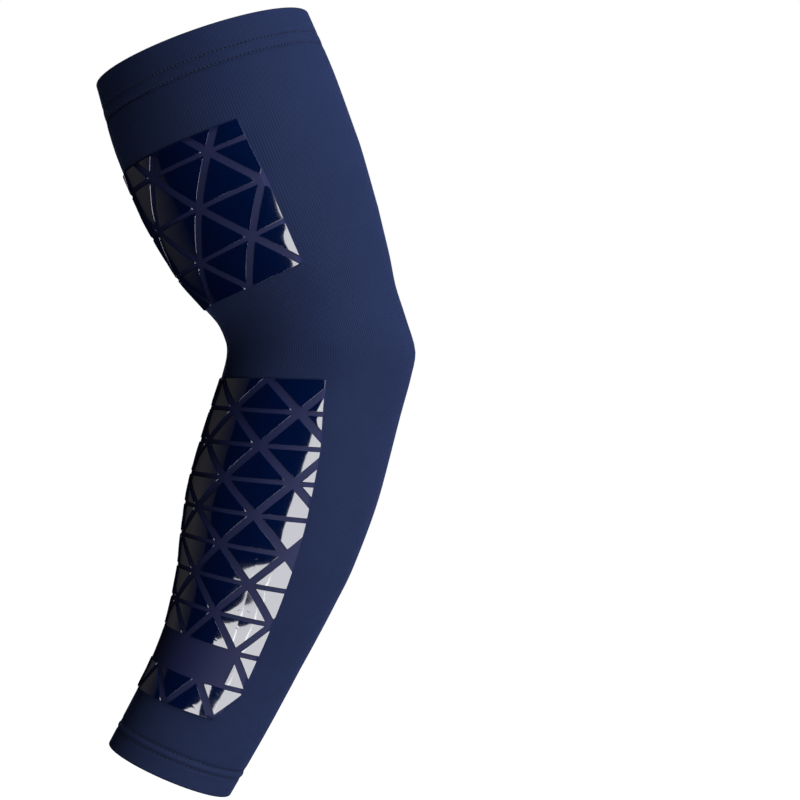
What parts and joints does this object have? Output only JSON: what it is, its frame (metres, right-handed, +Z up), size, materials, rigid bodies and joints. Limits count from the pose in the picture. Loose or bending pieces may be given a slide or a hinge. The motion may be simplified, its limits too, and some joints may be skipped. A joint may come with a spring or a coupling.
{
  "type": "arm sleeve",
  "caption": "Bent compression arm sleeve: a hollow knitted tube with doubled end hems and two raised grip panels of triangular cells, on the upper arm and down the forearm.",
  "frame": {"origin": "middle of the upper opening, where the sleeve sits on the arm", "axes": "+Z up towards the upper opening, +X towards the elbow's point, the arm bends in the XZ plane"},
  "size_m": [0.1655, 0.1156, 0.4071],
  "materials": {
    "knit": "matte fine stretch knit, navy",
    "hem_knit": "the same knit, doubled and sewn down with two rows of cover stitch",
    "gloss_film": "clear gloss raised cells on a matte navy film"
  },
  "bodies": {
    "root": {"upper_hem": "hem_knit", "upper_arm_tube": "knit", "forearm_tube": "knit", "wrist_hem": "hem_knit", "upper_grip_panel": "gloss_film", "forearm_grip_panel": "gloss_film"}
  },
  "joints": []
}
